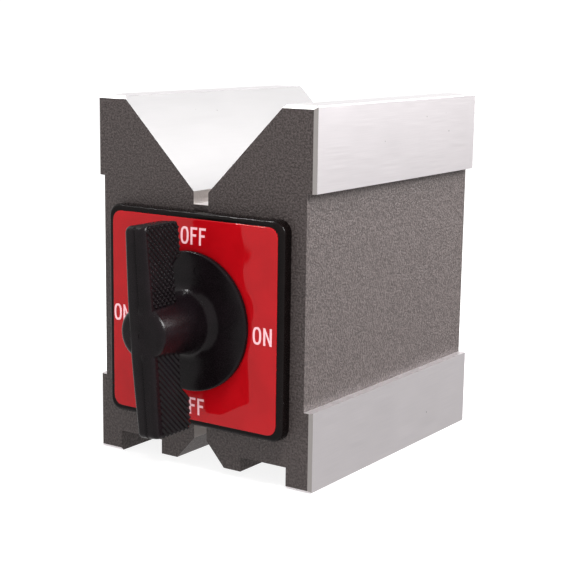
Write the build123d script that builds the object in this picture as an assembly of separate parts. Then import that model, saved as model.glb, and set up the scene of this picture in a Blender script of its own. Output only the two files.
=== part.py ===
"""Switchable magnetic V-block: two steel pole halves round a magnet rotor that a T-handle turns.

Millimetres. +Z is up, -Y is the front with the T-handle, X = 0 is the plane between the poles.
The origin is the middle of the whole object's box, on the plane that its feet stand on.
A depth is a distance behind the block's front face, so what stands out in front is negative.
"""
from build123d import *
import math
import os

# ---- block ----
block_width = 68.0
block_length = 82.0
block_height = 95.0
front_break = 0.8
edge_break = 0.3

v_half_width = 25.1
v_half_angle = 45.0
top_gap = 4.6
top_gap_web = 4.0

side_recess_depth = 2.25
lower_band_height = 20.5
upper_band_height = 20.8

foot_width = 7.3
rebate_height = 5.6
boss_half_width = 12.8
boss_land_height = 1.8
lower_v_half_width = 7.6
lower_v_top = 8.0
bottom_gap = 4.0
bottom_gap_web = 2.0

# ---- switch axis, bore and caps ----
axis_height = 40.0
bore_radius = 20.0
cap_ledge = 5.0
cap_flange = 4.0
cap_spigot = 4.0
cap_screw_count = 4
bush_wall = 1.5
rear_cap_skin = 2.5
seal_section = 1.8
seal_recess = 2.0

# ---- rotor ----
rotor_gap = 0.3
end_float = 0.15
washer_thickness = 0.6
washer_width = 7.0
flange_thickness = 6.0
magnet_thickness = 14.0
magnet_count = 4
glue_line = 0.1
tie_radius = 2.0
tie_rim = 0.5
tie_angle = 54.0
shaft_radius = 6.0
shaft_pin_radius = 1.5
ring_thickness = 1.0
ring_offset = 0.3
ring_height = 2.2
ring_opening = 34.0
groove_depth = 0.6

# ---- switch plate and label ----
plate_thickness = 3.5
plate_corner = 3.2
plate_edge = 1.0
plate_hole_gap = 1.0
plate_screw_clear = 6.1
plate_screw_inset = 5.5
ring_room = 0.8
label_rim = 1.6
label_corner = 2.6
label_thickness = 0.4
label_hole_gap = 3.0

# ---- knob ----
knob_gap = 0.3
knob_reach = 24.1
disc_radius = 17.9
disc_thickness = 1.2
disc_edge = 0.6
hub_root_radius = 7.5
hub_flare = 2.6
boss_radius = 6.7
boss_edge = 1.8
bar_half_length = 26.0
bar_end_half_width = 3.0
bar_root_half_width = 3.5
bar_edge = 0.6
wing_back = 10.0
wing_step_start = 15.1
wing_step_end = 18.3
bar_back = 13.2
stub_radius = 3.5
stub_length = 12.0
stub_flat = 0.5
insert_wall = 1.5
insert_spare = 1.0
grub_radius = 2.0
grub_length = 4.0
grub_depth = 8.6
rest_lean = 4.35

# ---- fasteners and fits ----
m3_radius = 1.5
m3_head_radius = 2.9
m3_key = 2.0
m3_key_depth = 1.1
m3_length = 10.0
m4_head_radius = 3.8
m4_key = 2.5
grub_key = 2.0
grub_key_depth = 2.0
running_fit = 0.03
seat_fit = 0.02

# ---- worked out from the sizes above ----
front = knob_reach - (block_length + knob_reach) / 2
rear_face = block_length
v_root = block_height - (v_half_width - top_gap / 2) / math.tan(math.radians(v_half_angle))

cap_seat_radius = bore_radius + cap_ledge
cap_depth = cap_flange + cap_spigot
top_gap_floor = axis_height + cap_seat_radius + top_gap_web
bottom_gap_ceiling = axis_height - cap_seat_radius - bottom_gap_web

shaft_wall = shaft_radius + running_fit
bush_radius = shaft_wall + bush_wall
seal_radius = shaft_wall + seal_section / 2
groove_radius = shaft_radius - groove_depth

rotor_radius = bore_radius - rotor_gap
flange_start = cap_depth + washer_thickness + end_float
core_start = flange_start + flange_thickness
core_end = rear_face - core_start
core_length = core_end - core_start
tie_circle = rotor_radius - m4_head_radius - tie_rim
tie_length = core_end + flange_thickness - flange_start

plate_screw_offset = (cap_seat_radius + plate_screw_clear) / math.sqrt(2)
plate_side = 2 * (plate_screw_offset + plate_screw_inset)
label_side = plate_side - 2 * label_rim
label_front = -plate_thickness - label_thickness
disc_back = label_front - knob_gap
disc_front = disc_back - disc_thickness
stub_end = disc_back - stub_length
insert_radius = stub_radius + insert_wall


def section(depth):
    """Plane across the block at a depth, with X to the right and Z up."""
    return Plane(origin=(0, front + depth, 0), x_dir=(1, 0, 0), z_dir=(0, -1, 0))


def slab(sketch, start, end):
    """A flat outline in X and Z, carried along Y from one depth to another."""
    return extrude(section(start) * sketch, -(end - start))


def at(x, z):
    """Place in X and Z on a section plane, with Z counted from the switch axis."""
    return Pos(x, axis_height + z)


def outline(points):
    return make_face(Polyline(*points, close=True))


def turned(profile, x=0.0, z=0.0):
    """Turned solid from (radius, depth) points or a face of them, about an axis along Y."""
    face = profile if isinstance(profile, Sketch) else outline(profile)
    lathe = Plane(origin=(x, front, axis_height + z), x_dir=(1, 0, 0), z_dir=(0, 0, 1))
    return revolve(lathe * face, axis=Axis((x, front, axis_height + z), (0, 1, 0)))


def rod(radius, start, end, x=0.0, z=0.0):
    return turned([(0, start), (radius, start), (radius, end), (0, end)], x, z)


def tube(inner, outer, start, end):
    return turned([(inner, start), (outer, start), (outer, end), (inner, end)])


def leaned(piece):
    """A rotor or knob piece, turned about the switch axis to where it stands at rest."""
    return Pos(0, 0, axis_height) * Rot(0, -rest_lean, 0) * Pos(0, 0, -axis_height) * piece


def rounded(face, corners, radius):
    """The face with a fillet at each of the corners given."""
    near = [v for v in face.vertices() for c in corners if math.dist((v.X, v.Y), c) < 0.01]
    return fillet(near, radius)


def mirrored_pair(points):
    """A half outline closed by its mirror image across X = 0."""
    return points + [(-x, z) for x, z in reversed(points)]


# ---- countersunk screws, driven from the front (+1) or from the rear (-1) ----
def screw_profile(face, way, radius, head_radius, length, slack=0.0):
    r, head = radius + slack, head_radius + slack
    return [(0, face), (head, face), (r, face + way * (head - r)),
            (r, face + way * (length + slack)), (0, face + way * (length + slack))]


def countersunk(face, way, places, slack=0.0, radius=m3_radius, head=m3_head_radius,
                length=m3_length, key=m3_key):
    screws = []
    for x, z in places:
        screw = turned(screw_profile(face, way, radius, head, length, slack), x, z)
        if not slack:
            socket = at(x, z) * RegularPolygon(key / 2, 6, major_radius=False)
            screw -= slab(socket, *sorted((face, face + way * m3_key_depth)))
        screws.append(screw)
    return group(screws)


def group(pieces):
    """Separate solids that share one node."""
    return Compound([solid for piece in pieces for solid in piece.solids()])


def four_places(x, z):
    """The same place in each of the four quarters about the switch axis."""
    return [(side * x, level * z) for side in (-1, 1) for level in (-1, 1)]


def circle_places(radius, count):
    step = 2 * math.pi / count
    return [(radius * math.cos(step * (i + 0.5)), radius * math.sin(step * (i + 0.5)))
            for i in range(count)]


cap_screw_places = circle_places(bore_radius + cap_ledge / 2, cap_screw_count)
plate_screw_places = four_places(plate_screw_offset, plate_screw_offset)
tie_places = four_places(tie_circle * math.cos(math.radians(tie_angle)),
                         tie_circle * math.sin(math.radians(tie_angle)))


def cap_screw_holes(face, way):
    return countersunk(face, way, cap_screw_places, slack=seat_fit)


def plate_screw_holes():
    return countersunk(-plate_thickness, 1, plate_screw_places, slack=seat_fit)


# ---- steel block: two poles and the two strips between them ----
def blank():
    """The outer box that both poles are cut to, with its edges broken and the front ones more."""
    middle = Pos(0, front + block_length / 2, block_height / 2)
    box = middle * Box(block_width, block_length, block_height)
    front_edges = box.faces().sort_by(Axis.Y)[0].edges()
    return chamfer(box.edges(), edge_break) & chamfer(front_edges, front_break)


def bored(piece):
    """The piece with the rotor bore and the two cap seats cut out of it."""
    return (piece - rod(bore_radius, 0, rear_face)
            - rod(cap_seat_radius, 0, cap_flange)
            - rod(cap_seat_radius, rear_face - cap_flange, rear_face))


def right_pole():
    side, recess = block_width / 2, block_width / 2 - side_recess_depth
    foot, upper_band = side - foot_width, block_height - upper_band_height
    profile = outline([
        (top_gap / 2, axis_height), (top_gap / 2, v_root), (v_half_width, block_height),
        (side, block_height), (side, upper_band), (recess, upper_band),
        (recess, lower_band_height), (side, lower_band_height), (side, 0), (foot, 0),
        (foot, rebate_height), (boss_half_width, rebate_height), (boss_half_width, boss_land_height),
        (lower_v_half_width, boss_land_height), (bottom_gap / 2, lower_v_top),
        (bottom_gap / 2, axis_height)])
    pole = bored(slab(profile, 0, rear_face) & blank())
    return pole - cap_screw_holes(0, 1) - cap_screw_holes(rear_face, -1) - plate_screw_holes()


def left_pole():
    return mirror(right_pole(), about=Plane.YZ)


def gap_strip(width, low, high):
    middle = Pos(0, (low + high) / 2) * Rectangle(width, high - low)
    return bored(slab(middle, 0, rear_face))


def top_spacer():
    return gap_strip(top_gap, axis_height, top_gap_floor)


def bottom_spacer():
    return gap_strip(bottom_gap, bottom_gap_ceiling, axis_height)


# ---- caps, bushes, seal and washers that carry the rotor ----
def front_cap():
    seat, spigot = cap_seat_radius - seat_fit, bore_radius - seat_fit
    seal_seat = seal_radius + seal_section / 2 + seat_fit
    bush_seat = bush_radius + seat_fit
    cap = turned([(seal_seat, 0), (seat, 0), (seat, cap_flange), (spigot, cap_flange),
                  (spigot, cap_depth), (bush_seat, cap_depth), (bush_seat, seal_recess),
                  (seal_seat, seal_recess)])
    return cap - cap_screw_holes(0, 1)


def rear_cap():
    seat, spigot = cap_seat_radius - seat_fit, bore_radius - seat_fit
    bush_seat, inside = bush_radius + seat_fit, rear_face - cap_depth
    skin = rear_face - rear_cap_skin
    cap = turned([(0, rear_face), (seat, rear_face), (seat, rear_face - cap_flange),
                  (spigot, rear_face - cap_flange), (spigot, inside), (bush_seat, inside),
                  (bush_seat, skin), (0, skin)])
    return cap - cap_screw_holes(rear_face, -1)


def front_bush():
    return tube(shaft_wall, bush_radius, seal_recess, cap_depth)


def rear_bush():
    return tube(shaft_wall, bush_radius, rear_face - cap_depth, rear_face - rear_cap_skin)


def shaft_seal():
    return turned(Pos(seal_radius, seal_recess / 2) * Circle(seal_section / 2))


def washer(start):
    inner = shaft_radius + rotor_gap
    return tube(inner, inner + washer_width, start, start + washer_thickness)


def front_washer():
    return washer(cap_depth)


def rear_washer():
    return washer(rear_face - cap_depth - washer_thickness)


def front_cap_screws():
    return countersunk(0, 1, cap_screw_places)


def rear_cap_screws():
    return countersunk(rear_face, -1, cap_screw_places)


# ---- switch plate on the front, with its label ----
def plate_outline(side, corner):
    return at(0, 0) * RectangleRounded(side, side, corner)


def switch_plate():
    plate = slab(plate_outline(plate_side, plate_corner), -plate_thickness, 0)
    plate = fillet(plate.faces().sort_by(Axis.Y)[0].edges(), plate_edge)
    ring_recess = rod(groove_radius + ring_height + ring_room,
                      -ring_offset - ring_thickness - ring_room, 0)
    shaft_hole = rod(shaft_radius + plate_hole_gap, -plate_thickness, 0)
    return plate - shaft_hole - ring_recess - plate_screw_holes()


def plate_screws():
    return countersunk(-plate_thickness, 1, plate_screw_places)


def label():
    sheet = slab(plate_outline(label_side, label_corner), label_front, -plate_thickness)
    return sheet - rod(shaft_radius + label_hole_gap, label_front, -plate_thickness)


# ---- magnet rotor ----
def ties(slack=0.0):
    return countersunk(flange_start, 1, tie_places, slack=slack, radius=tie_radius,
                       head=m4_head_radius, length=tie_length, key=m4_key)


def tie_screws():
    return leaned(ties())


def shaft_pin_hole(slack=0.0):
    reach = rotor_radius - bar_edge
    pin = Cylinder(shaft_pin_radius + slack, 2 * (reach + slack), rotation=(0, 90, 0))
    return Pos(0, front + flange_start + flange_thickness / 2, axis_height) * pin


def rotor_flange(start):
    ring = tube(shaft_radius + seat_fit, rotor_radius, start, start + flange_thickness)
    return ring - ties(seat_fit)


def front_flange():
    return leaned(rotor_flange(flange_start) - shaft_pin_hole(seat_fit))


def rear_flange():
    return leaned(rotor_flange(core_end))


def core_slice(low, high, start, end):
    """Part of the rotor's round core between two heights above the switch axis."""
    band = at(0, (low + high) / 2) * Rectangle(2 * rotor_radius, high - low)
    return slab(band & at(0, 0) * Circle(rotor_radius), start, end)


def magnets():
    pitch = core_length / magnet_count
    half = magnet_thickness / 2
    return leaned(group(
        core_slice(-half, half, core_start + i * pitch + glue_line / 2,
                   core_start + (i + 1) * pitch - glue_line / 2) for i in range(magnet_count)))


def upper_segment():
    segment = core_slice(magnet_thickness / 2, rotor_radius, core_start, core_end)
    return leaned(segment - ties(seat_fit))


def lower_segment():
    segment = core_slice(-rotor_radius, -magnet_thickness / 2, core_start, core_end)
    return leaned(segment - ties(seat_fit))


def drive_shaft():
    ring_back = -ring_offset
    ring_front = ring_back - ring_thickness
    shaft = turned([(0, core_start), (shaft_radius, core_start), (shaft_radius, ring_back),
                    (groove_radius, ring_back), (groove_radius, ring_front), (shaft_radius, ring_front),
                    (shaft_radius, disc_back), (stub_radius, disc_back),
                    (stub_radius, stub_end), (0, stub_end)])
    beyond_flat = Pos(-stub_radius, front + (disc_back + stub_end) / 2, axis_height) * Box(
        2 * stub_flat, stub_length, 2 * stub_radius)
    return leaned(shaft - beyond_flat - shaft_pin_hole(seat_fit))


def shaft_pin():
    return leaned(shaft_pin_hole())


def rear_journal():
    return leaned(rod(shaft_radius, core_end, rear_face - rear_cap_skin - ring_offset))


def retaining_ring():
    inner = groove_radius + seat_fit
    outer = groove_radius + ring_height
    ring = tube(inner, outer, -ring_offset - ring_thickness + seat_fit, -ring_offset - seat_fit)
    spread = outer * math.tan(math.radians(ring_opening / 2))
    mouth = outline([(0, axis_height), (-spread, axis_height - 2 * outer),
                     (spread, axis_height - 2 * outer)])
    return leaned(ring - slab(mouth, -2 * ring_thickness, 0))


# ---- knob: disc, hub and T-bar in one moulding, on its insert and grub screw ----
def hub():
    bore, bore_end = insert_radius + seat_fit, stub_end - insert_spare
    root, tip = (hub_root_radius, disc_front), (boss_radius, -knob_reach)
    rim = (disc_radius, disc_front)
    face = outline([(bore, disc_back), (disc_radius, disc_back), rim, root, tip,
                    (0, -knob_reach), (0, bore_end), (bore, bore_end)])
    face = rounded(face, [rim], disc_edge)
    face = rounded(face, [root], hub_flare)
    return turned(rounded(face, [tip], boss_edge))


def t_bar():
    """Bar with deeper wings at its ends, narrower at the tips than at the hub."""
    long, step, root = bar_half_length, wing_step_end, wing_step_start
    side = [(-knob_reach, long), (-wing_back, long), (-wing_back, step), (-bar_back, root)]
    side += [(depth, -t) for depth, t in reversed(side)]
    side_plane = Plane(origin=(0, front, axis_height), x_dir=(0, 1, 0), z_dir=(1, 0, 0))
    deep = extrude(side_plane * outline(side), bar_root_half_width, both=True)
    half = [(bar_end_half_width, long), (bar_root_half_width, boss_radius),
            (bar_root_half_width, -boss_radius), (bar_end_half_width, -long)]
    plan = outline([(x, axis_height + z) for x, z in mirrored_pair(half)])
    bar = deep & slab(plan, -knob_reach, -wing_back)
    return fillet(bar.edges(), bar_edge)


def grub_hole(slack, start, end):
    hole = Cylinder(grub_radius + slack, end - start, rotation=(0, 90, 0))
    return Pos(-(start + end) / 2, front - grub_depth, axis_height) * hole


def knob():
    body = hub() + t_bar() - bore_for_insert()
    return leaned(body - grub_hole(seat_fit, 0, disc_radius))


def bore_for_insert():
    return rod(insert_radius + seat_fit, stub_end - insert_spare, disc_back)


def knob_insert():
    sleeve = tube(stub_radius + seat_fit, insert_radius, stub_end, disc_back)
    return leaned(sleeve - grub_hole(seat_fit, 0, insert_radius + stub_radius))


def grub_screw():
    start = stub_radius - stub_flat
    end = start + grub_length
    screw = grub_hole(0.0, start, end)
    key = Plane(origin=(-end, front - grub_depth, axis_height), z_dir=(1, 0, 0))
    socket = extrude(key * RegularPolygon(grub_key / 2, 6, major_radius=False), grub_key_depth)
    return leaned(screw - socket)


PIECES = (
    left_pole, right_pole, top_spacer, bottom_spacer,
    front_cap, rear_cap, front_bush, rear_bush, shaft_seal, front_washer, rear_washer,
    front_cap_screws, rear_cap_screws, switch_plate, plate_screws, label,
    magnets, upper_segment, lower_segment, front_flange, rear_flange, tie_screws,
    drive_shaft, shaft_pin, rear_journal, retaining_ring,
    knob, knob_insert, grub_screw,
)

os.makedirs("parts", exist_ok=True)
for make in PIECES:
    export_step(make(), f"parts/{make.__name__}.step")
    print("wrote", make.__name__)
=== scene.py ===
# %% [markdown]
# # Switchable magnetic V-block
# A steel block with a V across its top and a magnet rotor inside, which the T-handle turns on and off.
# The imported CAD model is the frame: its bodies, places and sizes are fixed. This script gives every
# surface its finish, and remakes the pieces whose real shape has more detail than the CAD solids.

# %% Load the frame
import math

import bmesh
import bpy
from mathutils import Matrix, Vector


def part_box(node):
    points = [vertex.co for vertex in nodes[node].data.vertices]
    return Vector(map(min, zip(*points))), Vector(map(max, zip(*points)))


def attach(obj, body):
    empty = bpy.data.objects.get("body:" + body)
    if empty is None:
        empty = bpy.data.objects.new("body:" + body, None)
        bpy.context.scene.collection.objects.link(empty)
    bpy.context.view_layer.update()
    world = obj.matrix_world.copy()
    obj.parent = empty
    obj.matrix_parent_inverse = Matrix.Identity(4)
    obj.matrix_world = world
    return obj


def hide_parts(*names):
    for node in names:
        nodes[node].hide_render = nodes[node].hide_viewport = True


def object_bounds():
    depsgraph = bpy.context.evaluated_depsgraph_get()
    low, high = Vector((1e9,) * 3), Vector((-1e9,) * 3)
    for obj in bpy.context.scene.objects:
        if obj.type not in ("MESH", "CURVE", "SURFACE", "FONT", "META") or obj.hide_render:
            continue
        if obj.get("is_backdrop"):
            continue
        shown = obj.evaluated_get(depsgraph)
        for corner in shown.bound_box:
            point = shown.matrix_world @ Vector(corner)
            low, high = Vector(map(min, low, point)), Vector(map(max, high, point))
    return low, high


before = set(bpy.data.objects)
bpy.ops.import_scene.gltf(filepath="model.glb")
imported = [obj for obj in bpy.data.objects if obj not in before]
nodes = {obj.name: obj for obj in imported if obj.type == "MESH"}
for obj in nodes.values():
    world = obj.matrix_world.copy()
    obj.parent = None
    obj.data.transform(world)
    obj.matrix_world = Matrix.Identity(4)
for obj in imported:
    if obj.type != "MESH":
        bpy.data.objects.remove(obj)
cad_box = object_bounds()
print("CAD box", [tuple(round(c, 5) for c in corner) for corner in cad_box])

# %% [markdown]
# The sizes that several pieces share come from the CAD nodes. The front face of the block is the plane
# that every depth is counted from: what stands out in front has a negative depth, in millimetres.

# %% Shared planes and sizes
MM = 0.001
pole_low, pole_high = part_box("right_pole")
front_y, rear_y = pole_low.y, pole_high.y
side_x, top_z = pole_high.x, pole_high.z
label_low, label_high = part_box("label")
knob_low, knob_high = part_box("knob")
axis_z = (label_low.z + label_high.z) / 2
REST_LEAN = math.radians(4.35)


def depth_of(y):
    """Millimetres behind the block's front face."""
    return (y - front_y) / MM


print("axis height", round(axis_z / MM, 3), "knob reach", round(depth_of(knob_low.y), 3))

# %% [markdown]
# ## Camera
# A long lens from the right, slightly above: the front, the right side and the V all show, and the
# vertical edges stay nearly parallel. Its place and angles are set directly, and not by aiming it at a
# target, so its small roll stays exact.

# %% Camera
CAMERA_BEFORE_FRONT = 0.275401
CAMERA_AT = (0.21223, front_y - CAMERA_BEFORE_FRONT, 0.114448)
AZIMUTH, ELEVATION, ROLL = (math.radians(a) for a in (33.978, 10.820, 0.834))
SENSOR_WIDTH, LENS = 36.0, 87.31

ahead = Vector((-math.sin(AZIMUTH) * math.cos(ELEVATION), math.cos(AZIMUTH) * math.cos(ELEVATION),
                -math.sin(ELEVATION)))
level_right = Vector((math.cos(AZIMUTH), math.sin(AZIMUTH), 0))
level_up = level_right.cross(ahead)
right = level_right * math.cos(ROLL) + level_up * math.sin(ROLL)
up = level_up * math.cos(ROLL) - level_right * math.sin(ROLL)

camera_data = bpy.data.cameras.new("studio_camera")
camera_data.sensor_width, camera_data.lens = SENSOR_WIDTH, LENS
camera_data.clip_start, camera_data.clip_end = 0.01, 50
camera = bpy.data.objects.new("studio_camera", camera_data)
turn = Matrix((right, up, -ahead)).transposed().to_4x4()
camera.matrix_world = Matrix.Translation(CAMERA_AT) @ turn
bpy.context.scene.collection.objects.link(camera)
bpy.context.scene.camera = camera
print("camera at", CAMERA_AT, "lens", LENS)

# %% [markdown]
# ## Node helpers
# Every finish below is a small tree of shader nodes. It could be a painted picture, but nodes need no
# seams and keep their detail at any distance. Small helpers start a material, add a node and give a noise
# in object space, in patterns per millimetre, so that a grain has its real size on every piece. Others
# spread that noise over a range, mix two colours by it, and turn it into a bump.


# %% Node helpers
def start_material(name):
    material = bpy.data.materials.new(name)
    material.use_nodes = True
    return material, material.node_tree, material.node_tree.nodes["Principled BSDF"]


def add_node(tree, kind, settings=(), **sockets):
    """A new node; a socket's value is a number, a colour or another node's output."""
    node = tree.nodes.new(kind)
    for key, value in dict(settings).items():
        setattr(node, key, value)
    for key, value in sockets.items():
        socket = node.inputs[int(key[1:])] if key[0] == "i" and key[1:].isdigit() else node.inputs[key]
        if isinstance(value, bpy.types.NodeSocket):
            tree.links.new(value, socket)
        else:
            socket.default_value = value
    return node


def object_pattern(tree, per_mm, stretch=(1, 1, 1), detail=2.0, kind="ShaderNodeTexNoise"):
    """A noise node, with this many patterns to a millimetre along each axis."""
    where = add_node(tree, "ShaderNodeTexCoord").outputs["Object"]
    scaled = add_node(tree, "ShaderNodeMapping", Vector=where, Scale=[per_mm / MM * s for s in stretch])
    sockets = {"Vector": scaled.outputs["Vector"], "Scale": 1.0}
    if kind == "ShaderNodeTexNoise":
        sockets["Detail"] = detail
    return add_node(tree, kind, **sockets)


def maths(tree, operation, first, second):
    return add_node(tree, "ShaderNodeMath", {"operation": operation}, i0=first, i1=second).outputs[0]


def spread(tree, value, low, high, start=0.35, end=0.65):
    """Maps the middle of a noise to the range from low to high."""
    return add_node(tree, "ShaderNodeMapRange", Value=value, i1=start, i2=end, i3=low, i4=high).outputs[0]


def two_colours(tree, fac, first, second):
    """A mix of two colours; each is three numbers or another node's output."""
    mix = add_node(tree, "ShaderNodeMix", {"data_type": "RGBA"}, i0=fac)
    for socket, colour in ((mix.inputs[6], first), (mix.inputs[7], second)):
        if isinstance(colour, bpy.types.NodeSocket):
            tree.links.new(colour, socket)
        else:
            socket.default_value = (*colour, 1)
    return mix.outputs[2]


def grain_bump(tree, height, millimetres, under=None):
    """A bump of that height in millimetres, laid over another bump if one is given."""
    sockets = {"Height": height, "Distance": millimetres * MM, "Strength": 1.0}
    if under is not None:
        sockets["Normal"] = under
    return add_node(tree, "ShaderNodeBump", **sockets).outputs["Normal"]


print("node helpers ready")

# %% [markdown]
# ## Finishes of the block
# The block is sprayed with a dark warm grey paint that dries in fine pebbles, and only the working
# faces are ground bare afterwards. The pebbles could be displaced geometry, but at half a millimetre a
# bump is enough. Two noises make it, and the colour follows the bump: it is lighter on the crests and
# darker in the hollows, as painted light and shade, so that it looks hammered and not sandy.


# %% Pebble paint
PEBBLES_PER_MM, SPECKS_PER_MM = 1.9, 4.6
PEBBLE_HEIGHT, SPECK_HEIGHT = 0.24, 0.10
PAINT_SHADED_HOLLOW = (0.026, 0.019, 0.018)
PAINT_LIT_CREST = (0.070, 0.056, 0.054)
PAINT_GLINT_SPECK = (0.135, 0.116, 0.112)


def pebble_paint():
    material, tree, shader = start_material("pebble_paint")
    pebbles = object_pattern(tree, PEBBLES_PER_MM, detail=1.5).outputs["Fac"]
    fine = object_pattern(tree, SPECKS_PER_MM, detail=1.0).outputs["Fac"]
    # Painted light and shade: the pebble colour is lighter on the crests and darker in the hollows.
    lit_crest_mask = spread(tree, pebbles, 0.0, 1.0, 0.38, 0.66)
    body = two_colours(tree, lit_crest_mask, PAINT_SHADED_HOLLOW, PAINT_LIT_CREST)
    # Painted highlight: the light specks are the glint of the paint's metal flakes, laid into its colour.
    glint_mask = spread(tree, fine, 0.0, 0.6, 0.58, 0.74)
    tree.links.new(two_colours(tree, glint_mask, body, PAINT_GLINT_SPECK), shader.inputs["Base Color"])
    skin = grain_bump(tree, pebbles, PEBBLE_HEIGHT)
    tree.links.new(grain_bump(tree, fine, SPECK_HEIGHT, skin), shader.inputs["Normal"])
    tree.links.new(spread(tree, fine, 0.44, 0.62), shader.inputs["Roughness"])
    shader.inputs["Specular IOR Level"].default_value = 0.4
    return material


paint = pebble_paint()
print("made", paint.name)

# %% [markdown]
# Ground steel is bright and soft at once: the wheel leaves long parallel marks that spread the light.
# An anisotropic shader could give the marks, but a stretched noise also varies them, so it is stretched
# along the length of the block here. A second, slow noise clouds the surface a little, as handling
# does, and a few sparse dark specks are pits that the wheel left.


# %% Ground steel
MARKS_PER_MM, CLOUDS_PER_MM, PITS_PER_MM = 4.0, 0.05, 0.16
PIT_COLOUR = (0.16, 0.14, 0.13)


def ground_steel(name, colour, roughness, stretch, mark=0.002):
    material, tree, shader = start_material(name)
    marks = object_pattern(tree, MARKS_PER_MM, stretch, detail=3.0).outputs["Fac"]
    clouds = object_pattern(tree, CLOUDS_PER_MM, detail=3.0).outputs["Fac"]
    dull = [c * 0.94 for c in colour]
    tone = two_colours(tree, spread(tree, marks, 0.25, 0.75), dull, colour)
    cloudy = two_colours(tree, spread(tree, clouds, 0.0, 0.35), tone, [c * 0.92 for c in colour])
    pits = object_pattern(tree, PITS_PER_MM, kind="ShaderNodeTexVoronoi").outputs["Distance"]
    pitted = two_colours(tree, spread(tree, pits, 0.75, 0.0, 0.018, 0.040), cloudy, PIT_COLOUR)
    tree.links.new(pitted, shader.inputs["Base Color"])
    tree.links.new(spread(tree, marks, roughness - 0.01, roughness + 0.015), shader.inputs["Roughness"])
    tree.links.new(grain_bump(tree, marks, mark), shader.inputs["Normal"])
    shader.inputs["Metallic"].default_value = 1.0
    return material


ALONG_Y = (1, 0.02, 1)
band_steel = ground_steel("ground_band_steel", (0.94, 0.895, 0.915), 0.40, ALONG_Y, 0.0004)
# Painted shade: the V flank is the same ground steel as the bands, made about half as light because it
# catches more light.
shaded_flank_steel = ground_steel("flank_steel_painted_shade", (0.46, 0.452, 0.456), 0.46, ALONG_Y, 0.001)
land_steel = ground_steel("ground_land_steel", (0.82, 0.80, 0.815), 0.42, ALONG_Y)
# Partly painted shade: the band chamfers are ground steel darkened for the shade they get, with a rougher
# grain for the broken edge.
shaded_edge_steel = ground_steel("broken_edge_steel_painted_shade", (0.42, 0.395, 0.385), 0.50, (1, 1, 1), 0.03)
# Painted highlight: a lighter copy of the steel for the chamfers along the top and the slot floors, which
# face up to the light.
highlight_steel = ground_steel("steel_painted_highlight", (0.90, 0.88, 0.89), 0.40, (1, 1, 1), 0.01)
milled_steel = ground_steel("milled_steel", (0.58, 0.54, 0.52), 0.50, (0.5, 0.5, 0.3), 0.08)
print("made", band_steel.name, shaded_flank_steel.name, land_steel.name, shaded_edge_steel.name, highlight_steel.name,
      milled_steel.name)

# %% [markdown]
# ## Plastics, label and lettering
# The plate and the knob are black moulded nylon with a fine spark grain. The label is a red print under
# a clear domed resin. The resin could be a glass shell over the print, but a coat over the colour gives
# the same gloss with less noise. The letters are the same print in a pinkish white, under the same resin.


# %% Plastics and label
SPARKS_PER_MM, BLOTCHES_PER_MM = 5.0, 0.25
COAT_ROUGHNESS, RESIN_IOR = 0.03, 1.37


def moulded_plastic(name, colour, roughness, grain, specular):
    material, tree, shader = start_material(name)
    spark = object_pattern(tree, SPARKS_PER_MM, detail=2.0).outputs["Fac"]
    blotch = object_pattern(tree, BLOTCHES_PER_MM, detail=3.0).outputs["Fac"]
    light = [c * 1.5 for c in colour]
    tree.links.new(two_colours(tree, spread(tree, blotch, 0, 1), colour, light),
                   shader.inputs["Base Color"])
    tree.links.new(spread(tree, spark, roughness - 0.06, roughness + 0.08), shader.inputs["Roughness"])
    tree.links.new(grain_bump(tree, spark, grain), shader.inputs["Normal"])
    shader.inputs["Specular IOR Level"].default_value = specular
    return material


def under_resin(name, colour, deeper):
    material, tree, shader = start_material(name)
    ink = object_pattern(tree, 0.12, detail=2.0).outputs["Fac"]
    tree.links.new(two_colours(tree, spread(tree, ink, 0, 1), colour, deeper), shader.inputs["Base Color"])
    flow = object_pattern(tree, 0.5, detail=1.0).outputs["Fac"]
    tree.links.new(spread(tree, flow, 0.30, 0.38), shader.inputs["Roughness"])
    shader.inputs["Specular IOR Level"].default_value = 0.0
    shader.inputs["Coat Weight"].default_value = 1.0
    shader.inputs["Coat Roughness"].default_value = COAT_ROUGHNESS
    shader.inputs["Coat IOR"].default_value = RESIN_IOR
    return material


plate_plastic = moulded_plastic("plate_nylon", (0.0024, 0.0014, 0.0014), 0.22, 0.004, 0.14)
knob_plastic = moulded_plastic("knob_nylon", (0.0034, 0.0022, 0.0028), 0.24, 0.007, 0.17)
label_red = under_resin("label_red", (0.37, 0.0026, 0.0060), (0.33, 0.0022, 0.0050))
letter_white = under_resin("letter_white", (0.86, 0.50, 0.54), (0.80, 0.46, 0.50))
print("made", plate_plastic.name, knob_plastic.name, label_red.name, letter_white.name)

# %% [markdown]
# ## Finishes of the inner parts
# Bushes, caps, screws, magnets and the shaft are turned, cast or drawn metal. Each could have a tree of
# its own, but most are hidden inside, so one recipe serves them all: a base colour with a slow tint, a
# fine bump of tool marks, and a roughness that follows it. The rubber seal uses it too, without metal.


# %% Inner metals
def worked_metal(name, colour, roughness, metallic=1.0, stretch=(1, 1, 1), mark=0.01):
    material, tree, shader = start_material(name)
    marks = object_pattern(tree, 3.0, stretch, detail=3.0).outputs["Fac"]
    tint = object_pattern(tree, 0.15, detail=2.0).outputs["Fac"]
    tree.links.new(two_colours(tree, spread(tree, tint, 0, 1), colour, [c * 0.8 for c in colour]),
                   shader.inputs["Base Color"])
    tree.links.new(spread(tree, marks, roughness - 0.05, roughness + 0.08), shader.inputs["Roughness"])
    tree.links.new(grain_bump(tree, marks, mark), shader.inputs["Normal"])
    shader.inputs["Metallic"].default_value = metallic
    return material


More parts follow.
